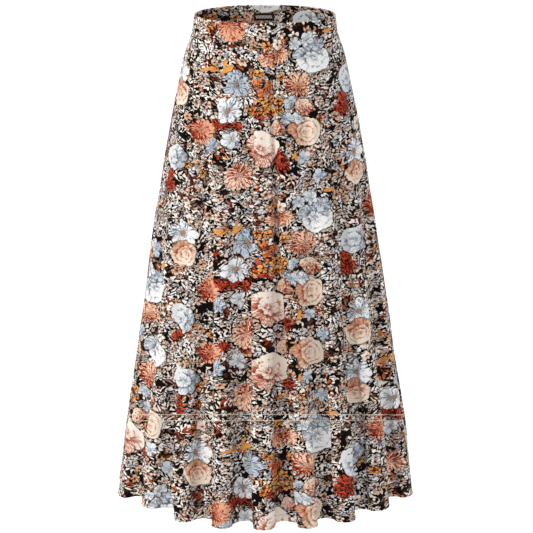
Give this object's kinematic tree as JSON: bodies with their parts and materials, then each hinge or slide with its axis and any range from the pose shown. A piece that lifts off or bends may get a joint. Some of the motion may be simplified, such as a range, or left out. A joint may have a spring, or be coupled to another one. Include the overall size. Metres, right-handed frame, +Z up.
{
  "type": "maxi skirt",
  "caption": "Long flared skirt with a narrow waistband, soft folds opening into deep flutes, and a hem tier joined on below a straight seam; hollow and open at waist and hem.",
  "frame": {"origin": "the centre of the waist opening, level with the waistband's top edge", "axes": "+Z up, along the skirt's length; the front of the skirt faces -Y; +X points to the skirt's side that is on the right when it is seen from the front"},
  "size_m": [0.5473, 0.4991, 0.9142],
  "materials": {
    "printed_cloth": "matt light woven cloth, printed all over with small and large flowers on a near-black ground",
    "woven_label": "black woven satin label, plain but for a light woven border"
  },
  "bodies": {
    "root": {"waistband_front": "printed_cloth", "waistband_back": "printed_cloth", "panel_front": "printed_cloth", "panel_back": "printed_cloth", "tier_front": "printed_cloth", "tier_back": "printed_cloth", "woven_label": "woven_label"}
  },
  "joints": []
}
